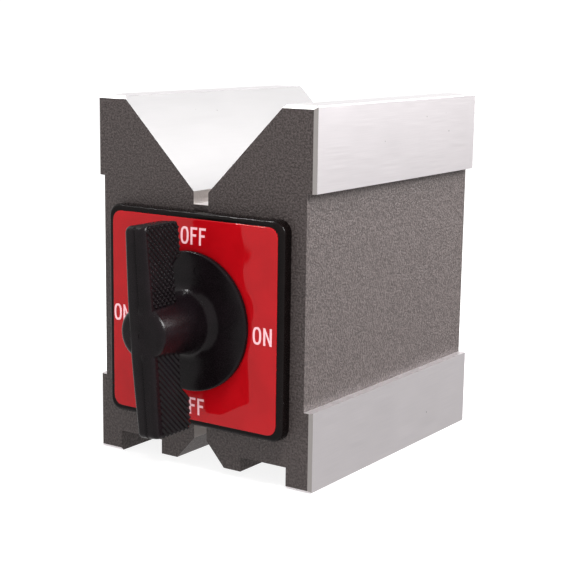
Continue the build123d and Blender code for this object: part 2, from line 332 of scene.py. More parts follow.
ACROSS_Y = (1, 0.05, 1)
turned_alloy = worked_metal("turned_alloy", (0.62, 0.61, 0.60), 0.36)
bronze = worked_metal("bush_bronze", (0.50, 0.30, 0.14), 0.40)
brass = worked_metal("insert_brass", (0.62, 0.44, 0.18), 0.34)
seal_rubber = worked_metal("seal_rubber", (0.02, 0.02, 0.02), 0.70, metallic=0.0)
screw_black = worked_metal("screw_black_oxide", (0.045, 0.043, 0.045), 0.42)
magnet_plating = worked_metal("magnet_plating", (0.50, 0.50, 0.49), 0.30)
soft_iron = worked_metal("soft_iron", (0.34, 0.33, 0.32), 0.50)
stainless = worked_metal("stainless_steel", (0.58, 0.57, 0.55), 0.34)
shaft_steel = worked_metal("shaft_steel", (0.48, 0.47, 0.46), 0.32, stretch=ACROSS_Y)
spring_steel = worked_metal("spring_steel", (0.20, 0.20, 0.22), 0.36)

node_finish = {
    turned_alloy: ("front_cap", "rear_cap"),
    bronze: ("front_bush", "rear_bush", "front_washer", "rear_washer"),
    brass: ("knob_insert",),
    seal_rubber: ("shaft_seal",),
    screw_black: ("front_cap_screws", "rear_cap_screws", "plate_screws", "grub_screw"),
    plate_plastic: ("switch_plate",),
    magnet_plating: ("magnets",),
    soft_iron: ("upper_segment", "lower_segment"),
    stainless: ("front_flange", "rear_flange", "tie_screws"),
    shaft_steel: ("drive_shaft", "shaft_pin", "rear_journal"),
    spring_steel: ("retaining_ring",),
}
for finish, names in node_finish.items():
    for node_name in names:
        slots = nodes[node_name].data.materials
        slots.clear()
        slots.append(finish)
print("finished", sum(len(names) for names in node_finish.values()), "CAD nodes")

# %% [markdown]
# ## Mesh helpers
# A remade piece could be a stack of primitives with modifiers. A mesh from points keeps its sizes
# readable, so pieces are built in millimetres in code and turned into one object at the origin, with its
# place in its mesh. Edges sharper than an angle are marked sharp, so curves shade smoothly and corners
# stay crisp.


# %% Mesh helpers
MERGE = 0.0005 * MM


def in_scene(name, data):
    piece = bpy.data.objects.new(name, data)
    bpy.context.scene.collection.objects.link(piece)
    return piece


def mesh_from(work):
    """A new mesh from a bmesh, which is freed."""
    mesh = bpy.data.meshes.new("work")
    work.to_mesh(mesh)
    work.free()
    return mesh


def cleaned(mesh):
    """The same mesh with its doubles merged and its normals facing out."""
    work = bmesh.new()
    work.from_mesh(mesh)
    bmesh.ops.remove_doubles(work, verts=work.verts, dist=MERGE)
    bmesh.ops.recalc_face_normals(work, faces=work.faces)
    work.to_mesh(mesh)
    work.free()
    return mesh


def finish_mesh(name, mesh, materials, smooth_angle):
    """Cleans a mesh and returns it as an object of the scene, at the origin."""
    cleaned(mesh)
    for material in materials:
        mesh.materials.append(material)
    mesh.shade_smooth()
    mesh.set_sharp_from_angle(angle=math.radians(smooth_angle))
    mesh.name = name
    return in_scene(name, mesh)


def mesh_of(points, faces):
    mesh = bpy.data.meshes.new("work")
    mesh.from_pydata(points, [], faces)
    return mesh


def bridged(rings, filled=True):
    """One shell from rings of as many points each, with its ends filled or left open."""
    count = len(rings[0])
    points = [p for ring in rings for p in ring]
    faces = []
    for r in range(len(rings) - 1):
        for i in range(count):
            j = (i + 1) % count
            faces.append((r * count + i, r * count + j, (r + 1) * count + j, (r + 1) * count + i))
    if filled:
        last = (len(rings) - 1) * count
        faces.append(tuple(range(count))[::-1])
        faces.append(tuple(range(last, last + count)))
    return points, faces


def place(x, depth, z):
    """A point in metres from millimetres: across, behind the front face, and above the switch axis."""
    return Vector((x * MM, front_y + depth * MM, axis_z + z * MM))


def arc(centre, radius, start, end, steps):
    """Points on an arc in a plane, with angles in degrees."""
    angles = [math.radians(start + (end - start) * i / steps) for i in range(steps + 1)]
    return [(centre[0] + radius * math.cos(a), centre[1] + radius * math.sin(a)) for a in angles]


def evaluated_mesh(piece):
    """The piece's mesh with its modifiers applied; the piece itself is removed."""
    graph = bpy.context.evaluated_depsgraph_get()
    mesh = bpy.data.meshes.new_from_object(piece.evaluated_get(graph))
    bpy.data.objects.remove(piece)
    return mesh


print("mesh helpers ready")

# %% [markdown]
# ## The two poles and the strips between them
# Each pole is one machined steel half, painted all over and then ground on its working faces: the V
# flank, the land, the two side bands and the soles. It could be modelled again, but its CAD shape is
# right, so a merged copy of the CAD mesh is used, and each face takes its finish from where it lies and
# which way it points. The strips between the poles are painted over with them at both ends.

# %% Which face has which finish
STEEL_FINISHES = [paint, band_steel, shaded_flank_steel, land_steel, shaded_edge_steel, milled_steel, highlight_steel]
PAINT, BAND, SHADED_FLANK, LAND, SHADED_EDGE, MILLED, HIGHLIGHT = range(len(STEEL_FINISHES))
NEAR, RIM = 0.05 * MM, 1.0 * MM
V_ROOT_Z, SLOT_X, END_DEPTH, V_TO_SIDE = 72.2 * MM, 2.4 * MM, 0.2 * MM, 2.0 * MM
CAP_SEAT, LEDGE_X, LEDGE_Z = 26 * MM, 31.6 * MM, (20.5 * MM, 74.2 * MM)


def pole_finish(centre, normal):
    """The place in STEEL_FINISHES of a pole's face, from its middle and the way it points."""
    out = abs(normal.x)
    x, z = abs(centre.x), centre.z
    inside = front_y + END_DEPTH < centre.y < rear_y - END_DEPTH
    if out > 0.99 and x > side_x - NEAR:
        return BAND
    if abs(normal.z) > 0.99 and (z > top_z - NEAR or z < NEAR):
        return LAND
    if abs(normal.z) > 0.99 and x > LEDGE_X and any(abs(z - ledge) < NEAR for ledge in LEDGE_Z):
        return BAND
    # The V flanks take the copy of the ground steel that is darkened as painted shade.
    if 0.6 < normal.z < 0.8 and out > 0.6 and z > V_ROOT_Z - NEAR and x < side_x - V_TO_SIDE:
        return SHADED_FLANK
    if 0.1 < out < 0.95 or (abs(normal.z) > 0.1 and abs(normal.y) > 0.1):
        # The chamfers along the top take the lighter copy of the steel, a painted highlight.
        if z > top_z - RIM:
            return HIGHLIGHT
        if z < RIM:
            return BAND
        # The band chamfers take the ground steel darkened as painted shade.
        if x > side_x - RIM and not LEDGE_Z[0] < z < LEDGE_Z[1]:
            return SHADED_EDGE
    if inside and math.hypot(x, z - axis_z) < CAP_SEAT:
        return MILLED
    if inside and x < SLOT_X and out > 0.99:
        return MILLED
    return PAINT


def spacer_finish(centre, normal):
    """The strips are painted over at the block's two end faces, and bare in the slots."""
    if abs(normal.y) > 0.99:
        return PAINT
    # The slot floor takes the lighter copy of the steel as painted light, and the other faces take the
    # darker milled one.
    return HIGHLIGHT if abs(normal.z) > 0.99 else MILLED


# %% [markdown]
# The paint ends and the metal begins at sharp edges, so the faces are sorted one by one after the loose
# triangles are merged. Flat neighbours of one finish are then joined, which keeps the mesh light.


# %% Remade steel pieces
def remade_steel(node_name, sorter):
    """A merged copy of a CAD node, with its faces sorted by finish."""
    mesh = nodes[node_name].data.copy()
    mesh.materials.clear()
    work = bmesh.new()
    work.from_mesh(mesh)
    bmesh.ops.remove_doubles(work, verts=work.verts, dist=0.001 * MM)
    bmesh.ops.recalc_face_normals(work, faces=work.faces)
    for face in work.faces:
        face.material_index = sorter(face.calc_center_median(), face.normal)
    bmesh.ops.dissolve_limit(work, angle_limit=math.radians(0.3), verts=work.verts, edges=work.edges,
                             delimit={"MATERIAL"})
    work.to_mesh(mesh)
    work.free()
    made = finish_mesh(node_name + "_ground", mesh, STEEL_FINISHES, 25.0)
    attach(made, "block")
    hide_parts(node_name)
    print(made.name, len(mesh.polygons), "faces")


for sorter, names in ((pole_finish, ("left_pole", "right_pole")),
                      (spacer_finish, ("top_spacer", "bottom_spacer"))):
    for node_name in names:
        remade_steel(node_name, sorter)

# %% [markdown]
# ## The domed label
# A resin-domed label is poured: the resin stops at the cut edge in a round lip, rises over the first
# millimetres and is never quite flat. A bevelled slab would look like sheet metal. So its height is one
# function of the distance from the edge, and the label's rings and the letters laid on it follow it.

# %% Label surface
LABEL_HALF = (label_high.x - label_low.x) / 2 / MM
LABEL_CORNER, LABEL_HOLE = 2.6, 9.0
LABEL_BACK, LABEL_FRONT = depth_of(label_high.y), depth_of(label_low.y)
LIP_RADIUS, LIP_RISE, DOME_RUN, RIPPLE_RUN, RIPPLE_ROOM = 0.16, 0.17, 11.0, 3.0, 0.05
WAVES = ((0.012, 11.0, 0.4), (0.016, 19.0, 2.1))


def edge_distance(x, z):
    """Millimetres in from the label's rounded square outline."""
    inner = LABEL_HALF - LABEL_CORNER
    dx, dz = abs(x) - inner, abs(z) - inner
    outside = math.hypot(max(dx, 0), max(dz, 0))
    return LABEL_CORNER - outside - min(max(dx, dz), 0)


def label_height(x, z):
    """Height of the resin above the plate, in millimetres."""
    run = max(edge_distance(x, z), 0)
    total = LABEL_BACK - LABEL_FRONT
    lip = LIP_RISE * math.sqrt(max(1 - (1 - min(run / LIP_RADIUS, 1)) ** 2, 0))
    dome = (total - LIP_RISE - RIPPLE_ROOM) * (1 - (1 - min(run / DOME_RUN, 1)) ** 2)
    ripple = sum(size * math.sin(x / length * 2 * math.pi + phase) * math.sin(z / length * 2 * math.pi)
                 for size, length, phase in WAVES) * min(run / RIPPLE_RUN, 1)
    return lip + dome + ripple


print("label height beside the hole", round(label_height(0, LABEL_HOLE), 3))


# %% Label mesh
AROUND_LABEL, ACROSS_LABEL, LIP_STEPS = 240, 40, 6
OUTLINE_TRIES = 24


def rounded_square(half, corner, steps):
    """Points round a rounded square, evenly spread by angle from its middle."""
    ring, gap = [], half - corner
    for i in range(steps):
        angle = 2 * math.pi * i / steps
        c, s = math.cos(angle), math.sin(angle)
        reach = 0.0
        for _ in range(OUTLINE_TRIES):
            dx, dz = abs(reach * c) - gap, abs(reach * s) - gap
            away = math.hypot(max(dx, 0), max(dz, 0)) + min(max(dx, dz), 0) - corner
            reach -= away
        ring.append((reach * c, reach * s))
    return ring


def label_dome():
    """The resin: rings from the outline to the hole, with a flat back."""
    outer = rounded_square(LABEL_HALF, LABEL_CORNER, AROUND_LABEL)
    steps = [LIP_RADIUS * (1 - math.cos(math.radians(90 * i / LIP_STEPS))) for i in range(LIP_STEPS + 1)]
    shares = [s / (LABEL_HALF - LABEL_HOLE) for s in steps]
    shares += [shares[-1] + (1 - shares[-1]) * (i + 1) / ACROSS_LABEL for i in range(ACROSS_LABEL)]
    rings = [[place(x, LABEL_BACK, z) for x, z in outer]]
    hole = [(LABEL_HOLE * x / math.hypot(x, z), LABEL_HOLE * z / math.hypot(x, z)) for x, z in outer]
    for share in shares:
        ring = [(a + (c - a) * share, b + (d - b) * share) for (a, b), (c, d) in zip(outer, hole)]
        rings.append([place(x, LABEL_BACK - label_height(x, z), z) for x, z in ring])
    rings.append([place(x, LABEL_BACK, z) for x, z in hole])
    rings.append(rings[0])
    dome = finish_mesh("label_dome", mesh_of(*bridged(rings, filled=False)), [label_red], 60.0)
    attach(dome, "block")
    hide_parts("label")
    return dome


dome = label_dome()
print(dome.name, len(dome.data.polygons), "faces")

# %% [markdown]
# ## Lettering
# The print says OFF above and below the handle and ON at its sides, like the marks of any switch. A text
# object would bring a typeface's own shapes, so each letter is made of flat faces that share their
# corners. They are laid on the resin, where every point takes the label's own height, and thickened.

# %% Letter outlines
LETTER_HEIGHT, STROKE = 4.4, 0.58
LETTER_WIDTHS = {"O": 2.50, "F": 2.05, "N": 2.45}
LETTER_SPACE = 0.62
LETTER_RELIEF, LETTER_DEPTH = 0.03, 0.08
ARM_DROP, ARM_SHORT = 0.12, 0.3
SLANT_WIDTH, SLANT_REACH = 0.9, 2.2


def oval(width, height, steps=28, power=2.6):
    """A narrow upright oval, squarer than an ellipse."""
    ring = []
    for i in range(steps):
        angle = 2 * math.pi * i / steps
        c, s = math.cos(angle), math.sin(angle)
        ring.append((width / 2 * math.copysign(abs(c) ** (2 / power), c),
                     height / 2 * math.copysign(abs(s) ** (2 / power), s)))
    return ring


def letter_faces(letter):
    """Flat faces of a letter about its own middle, as (x, z) corners."""
    w, h, s = LETTER_WIDTHS[letter] / 2, LETTER_HEIGHT / 2, STROKE
    if letter == "O":
        outer, inner = oval(2 * w, 2 * h), oval(2 * w - 2 * s, 2 * h - 1.9 * s)
        count = len(outer)
        return [(outer[i], outer[(i + 1) % count], inner[(i + 1) % count], inner[i]) for i in range(count)]
    if letter == "F":
        low, high = -ARM_DROP, s - ARM_DROP
        bars = [(-w, -w + s, -h, low), (-w, -w + s, low, high), (-w, -w + s, high, h - s),
                (-w, -w + s, h - s, h), (-w + s, w, h - s, h), (-w + s, w - ARM_SHORT, low, high)]
        return [((a, c), (b, c), (b, d), (a, d)) for a, b, c, d in bars]
    slant, reach = SLANT_WIDTH * s, SLANT_REACH * s
    left_notch, right_notch = (-w + s, h - reach), (w - s, -h + reach)
    return [((-w, -h), (-w + s, -h), left_notch, (-w, h)),
            ((-w, h), left_notch, (-w + slant, h)),
            ((-w + slant, h), left_notch, (w - slant, -h), right_notch),
            (right_notch, (w - slant, -h), (w, -h), (w, h)),
            (right_notch, (w, h), (w - s, h))]


def word_places(word, x, z):
    """The letters of a word with the middle of each, for a word centred on x and z."""
    widths = [LETTER_WIDTHS[letter] for letter in word]
    start = x - (sum(widths) + LETTER_SPACE * (len(word) - 1)) / 2
    for letter, width in zip(word, widths):
        yield letter, start + width / 2, z
        start += width + LETTER_SPACE


# %% Lettering mesh
WORDS = (("OFF", 0.5, 21.6), ("OFF", 0.1, -22.1), ("ON", 21.8, -1.1), ("ON", -22.75, -0.8))


def lettering():
    work = bmesh.new()
    for word, x, z in WORDS:
        for letter, cx, cz in word_places(word, x, z):
            for face in letter_faces(letter):
                spots = [(cx + a, cz + b) for a, b in face]
                work.faces.new([work.verts.new(place(x, LABEL_BACK - label_height(x, z) - LETTER_RELIEF, z))
                                for x, z in spots])
    bmesh.ops.remove_doubles(work, verts=work.verts, dist=0.002 * MM)
    bmesh.ops.recalc_face_normals(work, faces=work.faces)
    if sum(face.normal.y for face in work.faces) > 0:
        bmesh.ops.reverse_faces(work, faces=work.faces)
    back = bmesh.ops.extrude_face_region(work, geom=work.faces[:])
    moved = [v for v in back["geom"] if isinstance(v, bmesh.types.BMVert)]
    bmesh.ops.translate(work, verts=moved, vec=(0, LETTER_DEPTH * MM, 0))
    return finish_mesh("label_lettering", mesh_from(work), [letter_white], 30.0)


letters = lettering()
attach(letters, "block")
print(letters.name, len(letters.data.polygons), "faces")

# %% [markdown]
# ## The knob
# The T-handle is one nylon moulding: a flat disc, a hub that flares into it, and a bar with deeper wings.
# It could be pushed and pulled from one box, but its disc and hub are round and its bar is not. So the
# disc and the hub are turned from one profile, and the bar is a loft of rounded sections along its
# length. A Boolean joins them, and others cut the groove, the ejector and gate marks and the grub hole.

# %% Knob profile and bar sections
KNOB_FRONT, DISC_BACK = depth_of(knob_low.y), depth_of(knob_high.y)
DISC_FRONT = DISC_BACK - 1.2
DISC_RADIUS, DISC_EDGE = 17.9, 0.6
HUB_ROOT, HUB_TIP, HUB_FLARE, TIP_EDGE, TIP_DOME = 7.5, 6.7, 2.6, 1.8, 0.3
CROWN_DROP, CROWN_SHARES = 0.02, (0.9, 0.75, 0.6, 0.45, 0.3, 0.15, 0.0)
INSERT_BORE, BORE_END = 5.02, -17.2
BAR_HALF, END_WIDTH, ROOT_WIDTH, BAR_ARCH = 26.0, 3.0, 3.5, 0.3
WING_BACK, BAR_BACK, STEP_START, STEP_END = -10.0, -13.2, 15.1, 18.3
FRONT_ROUND, BACK_ROUND, END_ROUND = 1.15, 0.5, 1.5
PANEL_ROOT, PANEL_SINK, PANEL_SLOPE = 5.0, 0.28, 0.25
BORDER_ROOT, BORDER_TOP, BORDER_BOTTOM, BORDER_LEAST = 0.75, 0.10, 1.35, 0.02
SIDE_SHRINK, BACK_SHRINK = 0.25, 0.3
SECTION_PITCH, SECTIONS_EACH_WAY = 0.5, 48
QUARTER_TURN = (0, 15, 30, 45, 60, 75, 90)
ON_AXIS = 1e-6


def hub_profile():
    """(radius, depth) round the disc, the flare, the hub's tip and the insert's bore."""
    rim = arc((DISC_RADIUS - DISC_EDGE, DISC_FRONT + DISC_EDGE), DISC_EDGE, 0, -90, 6)
    flare = [(HUB_ROOT + HUB_FLARE - x, DISC_FRONT - HUB_FLARE + y)
             for x, y in arc((0, 0), HUB_FLARE, 90, 0, 8)]
    flat = HUB_TIP - TIP_EDGE
    tip = arc((flat, KNOB_FRONT + TIP_DOME + TIP_EDGE), TIP_EDGE, 0, -84, 9)
    crown = [(flat * share, KNOB_FRONT + CROWN_DROP + TIP_DOME * share ** 2) for share in CROWN_SHARES]
    return ([(INSERT_BORE, DISC_BACK), (DISC_RADIUS, DISC_BACK)] + rim + flare + tip + crown,
            [(0.0, BORE_END), (INSERT_BORE, BORE_END)])


def turned_shell(profile, segments=144):
    """A closed shell turned about the switch axis; points on the axis become one."""
    work = bmesh.new()
    loops = []
    for radius, depth in profile:
        if radius < ON_AXIS:
            loops.append([work.verts.new(place(0, depth, 0))])
            continue
        angles = [2 * math.pi * i / segments for i in range(segments)]
        loops.append([work.verts.new(place(radius * math.cos(a), depth, radius * math.sin(a)))
                      for a in angles])
    for a, b in zip(loops, loops[1:] + loops[:1]):
        if len(a) == 1 and len(b) == 1:
            continue
        for i in range(segments):
            j = (i + 1) % segments
            corners = [a[i % len(a)], a[j % len(a)], b[j % len(b)], b[i % len(b)]]
            work.faces.new(list(dict.fromkeys(corners)))
    bmesh.ops.recalc_face_normals(work, faces=work.faces)
    return mesh_from(work)


outer, bore = hub_profile()
hub_mesh = turned_shell(outer + bore)
print("hub", len(hub_mesh.polygons), "faces")


# %% Bar loft
def bar_width(t):
    """Half width of the bar at a distance along it from the switch axis."""
    share = max(abs(t) - HUB_TIP, 0) / (BAR_HALF - HUB_TIP)
    return ROOT_WIDTH + (END_WIDTH - ROOT_WIDTH) * share


def bar_back(t):
    """Depth of the bar's back, which steps from the deep middle to the wings in a smooth S."""
    share = (abs(t) - STEP_START) / (STEP_END - STEP_START)
    share = min(max(share, 0), 1)
    return BAR_BACK + (WING_BACK - BAR_BACK) * share * share * (3 - 2 * share)


def bar_front(t):
    """The bar's front is a very shallow arch."""
    return KNOB_FRONT + BAR_ARCH * (t / BAR_HALF) ** 2


def panel_start(t):
    """Depth where the sunk side panel begins; the smooth border beside the front tapers to both ends."""
    share = min(abs(t) / BAR_HALF, 1)
    border = BORDER_ROOT + ((BORDER_TOP if t > 0 else BORDER_BOTTOM) - BORDER_ROOT) * share
    return bar_front(t) + FRONT_ROUND + border


def bar_section(t, shrink=0.0):
    """Half a section, from the middle of the front to the middle of the back, as (x, depth)."""
    width = bar_width(t) - SIDE_SHRINK * shrink
    front, back = bar_front(t) + shrink, bar_back(t) - BACK_SHRINK * shrink
    sink = PANEL_SINK if abs(t) > PANEL_ROOT else 0.0
    panel = max(panel_start(t), front + FRONT_ROUND + BORDER_LEAST)
    half = [(0.0, front)]
    half += [(width - FRONT_ROUND + x, front + FRONT_ROUND - y)
             for x, y in arc((0, 0), FRONT_ROUND, 90, 0, 6)]
    half += [(width, panel), (width - sink, panel + PANEL_SLOPE), (width - sink, back - BACK_ROUND)]
    half += [(width - sink - BACK_ROUND + x, back - BACK_ROUND + y)
             for x, y in arc((0, 0), BACK_ROUND, 0, 90, 4)][1:]
    half += [(0.0, back)]
    return half


def bar_mesh():
    """The loft through all sections; the last ones at each end shrink along a quarter circle."""
    rounded = [math.radians(a) for a in QUARTER_TURN]
    lower = [(-BAR_HALF + END_ROUND * (1 - math.cos(a)), END_ROUND * (1 - math.sin(a))) for a in rounded]
    middle = [(i * SECTION_PITCH, 0.0) for i in range(-SECTIONS_EACH_WAY, SECTIONS_EACH_WAY + 1)]
    upper = [(-t, shrink) for t, shrink in lower]
    rings = []
    for t, shrink in sorted(lower + middle + upper):
        half = bar_section(t, shrink)
        ring = half + [(-x, d) for x, d in half[-2:0:-1]]
        rings.append([place(x, depth, t) for x, depth in ring])
    return mesh_of(*bridged(rings))


bar = bar_mesh()
print("bar", len(bar.polygons), "faces")


# %% [markdown]
# The parting groove runs down the middle of the bar's front, round both ends and down the end faces. An
# edge loop could be pushed in, but a cutter keeps the depth even: a small diamond section is swept along
# that path, and it runs out 5 mm from the switch axis. Two ejector marks on the disc and the gate mark on
# the boss are shallow round cuts.


# %% Groove cutter and marks
GROOVE_HALF, GROOVE_DEEP, GROOVE_ABOVE = 0.42, 0.38, 0.6
GROOVE_STOP, GROOVE_RUN_OUT, RUN_OUT_LIFT, GROOVE_STEPS = 5.0, 1.6, 0.02, 8
EJECTOR_MARKS, EJECTOR_RADIUS, EJECTOR_DEEP = ((4.0, 12.9), (5.5, -9.9)), 1.1, 0.15
GATE_AT, GATE_RADIUS, GATE_DEEP = (0.3, -0.4), 0.7, 0.12
GRUB_START, GRUB_RADIUS, GRUB_DEPTH = -12, 2.02, -8.6
CUT_ROOM = 1


def groove_path():
    """(t, depth, outward direction) from the hub over the end, for the upper wing."""
    bend = BAR_HALF - END_ROUND
    full = GROOVE_STOP + GROOVE_RUN_OUT
    flat = [GROOVE_STOP] + [full + (bend - full) * i / GROOVE_STEPS for i in range(GROOVE_STEPS + 1)]
    path = [(t, bar_front(t), (0, -1)) for t in flat]
    for angle in QUARTER_TURN[1:]:
        s, c = math.sin(math.radians(angle)), math.cos(math.radians(angle))
        path.append((bend + END_ROUND * s, bar_front(BAR_HALF) + END_ROUND - END_ROUND * c, (s, -c)))
    path.append((BAR_HALF, WING_BACK + CUT_ROOM, (1, 0)))
    return path


def groove_cutter(side):
    """The diamond section along the path; side is 1 for the upper wing and -1 for the lower one."""
    rings = []
    for i, (t, depth, out) in enumerate(groove_path()):
        deep = GROOVE_DEEP if i else -RUN_OUT_LIFT
        corners = ((GROOVE_HALF, 0.0), (0.0, -deep), (-GROOVE_HALF, 0.0), (0.0, GROOVE_ABOVE))
        rings.append([place(x, depth + r * out[1], side * (t + r * out[0])) for x, r in corners])
    return mesh_of(*bridged(rings))


def rod_mesh(start, end, radius, segments=48):
    """A plain rod between two points, used as a cutter."""
    work = bmesh.new()
    along = end - start
    turn = along.to_track_quat("Z", "Y").to_matrix().to_4x4()
    bmesh.ops.create_cone(work, cap_ends=True, segments=segments, radius1=radius * MM, radius2=radius * MM,
                          depth=along.length, matrix=Matrix.Translation((start + end) / 2) @ turn)
    return mesh_from(work)


def round_mark(spot, surface, deep, radius):
    """A cutter for a shallow round mark in a face at that depth."""
    x, z = spot
    return rod_mesh(place(x, surface - CUT_ROOM, z), place(x, surface + deep, z), radius)


cutters = [groove_cutter(1), groove_cutter(-1)]
cutters.append(round_mark(GATE_AT, KNOB_FRONT, GATE_DEEP, GATE_RADIUS))
cutters += [round_mark(spot, DISC_FRONT, EJECTOR_DEEP, EJECTOR_RADIUS) for spot in EJECTOR_MARKS]
cutters.append(rod_mesh(place(GRUB_START, GRUB_DEPTH, 0), place(0, GRUB_DEPTH, 0), GRUB_RADIUS))
print("cutters", len(cutters))


# %% Join and cut the knob
def combined(base, others):
    """The base mesh with each (operation, mesh) applied in turn by an exact Boolean."""
    piece = in_scene("work", cleaned(base))
    tools = []
    for operation, mesh in others:
        tool = in_scene("work", cleaned(mesh))
        modifier = piece.modifiers.new("cut", "BOOLEAN")
        modifier.solver, modifier.operation, modifier.object = "EXACT", operation, tool
        tools.append(tool)
    mesh = evaluated_mesh(piece)
    for tool in tools:
        bpy.data.objects.remove(tool)
    return mesh


LEAN = (Matrix.Translation((0, 0, axis_z)) @ Matrix.Rotation(-REST_LEAN, 4, "Y")
        @ Matrix.Translation((0, 0, -axis_z)))
knob_mesh = combined(hub_mesh, [("UNION", bar)] + [("DIFFERENCE", cutter) for cutter in cutters])
knob_mesh.transform(LEAN)
knob = finish_mesh("knob_moulding", knob_mesh, [knob_plastic], 32.0)
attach(knob, "rotor")
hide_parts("knob")
print(knob.name, len(knob_mesh.polygons), "faces")

# %% [markdown]
# ## The grip on the wings
# Both sides of each wing carry a fine grip for the fingers, laid on one slanted lattice. On the upper
# wing the lattice is a knurl of small hipped beads, and on the lower wing its rows run through as ribs.
# A bump would look flat against the light, so the lumps are real. They repeat hundreds of times, so
# Geometry Nodes place them: the tree puts a bead or a rib on every lattice point, turns it by the
# point's own directions, and makes it all real at the end.

# %% Lattice of the grip
ROW_PITCH, BEAD_PITCH, ROW_SLANT = 1.12, 1.12, math.radians(45)
BEAD_INSET, RIB_INSET, RIB_STEP, SHORTEST_RIB = 0.35, 0.12, 0.05, 0.4
ROOM_AT_ROOT, ROOM_AT_END, ROOM_AT_BACK = 0.6, 0.1, 0.2
LATTICE_ROWS, RIB_SEARCH = range(-60, 60), (-40, 60)
ROW_IN, ROW_UP = math.cos(ROW_SLANT), math.sin(ROW_SLANT)


def in_panel(t, depth, inset):
    """Whether a point lies on the sunk panel, with that much room to its borders."""
    if not PANEL_ROOT + ROOM_AT_ROOT < abs(t) < BAR_HALF - ROOM_AT_END - inset:
        return False
    return panel_start(t) + inset < depth < bar_back(t) - ROOM_AT_BACK - inset


def lattice_place(along, across):
    """Height and depth of a place on the lattice; rows run from front and top to back and bottom."""
    return (-along * ROW_UP + across * ROW_IN, KNOB_FRONT + along * ROW_IN + across * ROW_UP)


def bead_places():
    """The middle of each bead on the upper panel, with no length."""
    for i in LATTICE_ROWS:
        for j in LATTICE_ROWS:
            t, depth = lattice_place(j * BEAD_PITCH, i * ROW_PITCH)
            if t > 0 and in_panel(t, depth, BEAD_INSET):
                yield t, depth, 0.0


def rib_places():
    """The middle and length of each rib, as far as its row runs inside the lower panel."""
    first, last = (round(end / RIB_STEP) for end in RIB_SEARCH)
    steps = [s * RIB_STEP for s in range(first, last)]
    for i in LATTICE_ROWS:
        run = []
        for along in steps:
            t, depth = lattice_place(along, i * ROW_PITCH)
            if t < 0 and in_panel(t, depth, RIB_INSET):
                run.append(along)
        if run and run[-1] - run[0] > SHORTEST_RIB:
            middle = (run[0] + run[-1]) / 2
            yield *lattice_place(middle, i * ROW_PITCH), run[-1] - run[0]


def grip_lattice():
    """Points, outward directions, row directions and rib lengths, for all four panels."""
    points, outs, rows, lengths = [], [], [], []
    taper = (ROOT_WIDTH - END_WIDTH) / (BAR_HALF - HUB_TIP)
    lean = LEAN.to_3x3()
    for side in (1, -1):
        for t, depth, length in [*bead_places(), *rib_places()]:
            points.append(LEAN @ place(side * (bar_width(t) - PANEL_SINK), depth, t))
            outs.append(lean @ Vector((side, 0, math.copysign(taper, t))).normalized())
            rows.append(lean @ Vector((0, ROW_IN, -ROW_UP)))
            lengths.append(length * MM)
    return points, outs, rows, lengths


lattice = grip_lattice()
print("beads", sum(not length for length in lattice[3]), "ribs", sum(bool(length) for length in lattice[3]))

# %% [markdown]
# The tree's named inputs are a lump's width and height, the length of a bead and the finish. A bead is a
# cone with four sides and a small top, and a rib is a four-sided bar on its edge, half sunk into the
# panel, which each point stretches to its own length.


# %% Geometry Nodes tree for the grip
BEAD_TOP = 0.34


def tree_input(tree, name, kind):
    return tree.interface.new_socket(name=name, in_out="INPUT", socket_type=kind)


def point_value(tree, name, kind):
    """A value that each point of the lattice carries, read by its name."""
    reader = add_node(tree, "GeometryNodeInputNamedAttribute", {"data_type": kind}, Name=name)
    return next(o for o in reader.outputs if o.enabled and o.name == "Attribute")


def bead_shape(tree, source):
    """A four-sided cone with a small top, narrowed from its length to its width."""
    half = maths(tree, "MULTIPLY", source["Bead length"], math.sqrt(0.5))
    cone = add_node(tree, "GeometryNodeMeshCone", Vertices=4)
    for name, value in (("Radius Top", maths(tree, "MULTIPLY", half, BEAD_TOP)), ("Radius Bottom", half),
                        ("Depth", source["Lump height"])):
        tree.links.new(value, cone.inputs[name])
    square = add_node(tree, "GeometryNodeTransform", Geometry=cone.outputs["Mesh"],
                      Rotation=(0, 0, math.radians(45)))
    ratio = maths(tree, "DIVIDE", source["Lump width"], source["Bead length"])
    narrow = add_node(tree, "ShaderNodeCombineXYZ", X=1.0, Y=ratio, Z=1.0).outputs[0]
    return add_node(tree, "GeometryNodeTransform", Geometry=square.outputs[0], Scale=narrow).outputs[0]


def rib_shape(tree, source):
    """A bar of unit length along X, on its edge."""
    bar = add_node(tree, "GeometryNodeMeshCylinder", Vertices=4, Radius=1.0, Depth=1.0)
    lying = add_node(tree, "GeometryNodeTransform", Geometry=bar.outputs["Mesh"],
                     Rotation=(0, math.radians(90), 0))
    half = maths(tree, "MULTIPLY", source["Lump width"], 0.5)
    size = add_node(tree, "ShaderNodeCombineXYZ", X=1.0, Y=half, Z=source["Lump height"]).outputs[0]
    return add_node(tree, "GeometryNodeTransform", Geometry=lying.outputs[0], Scale=size).outputs[0]


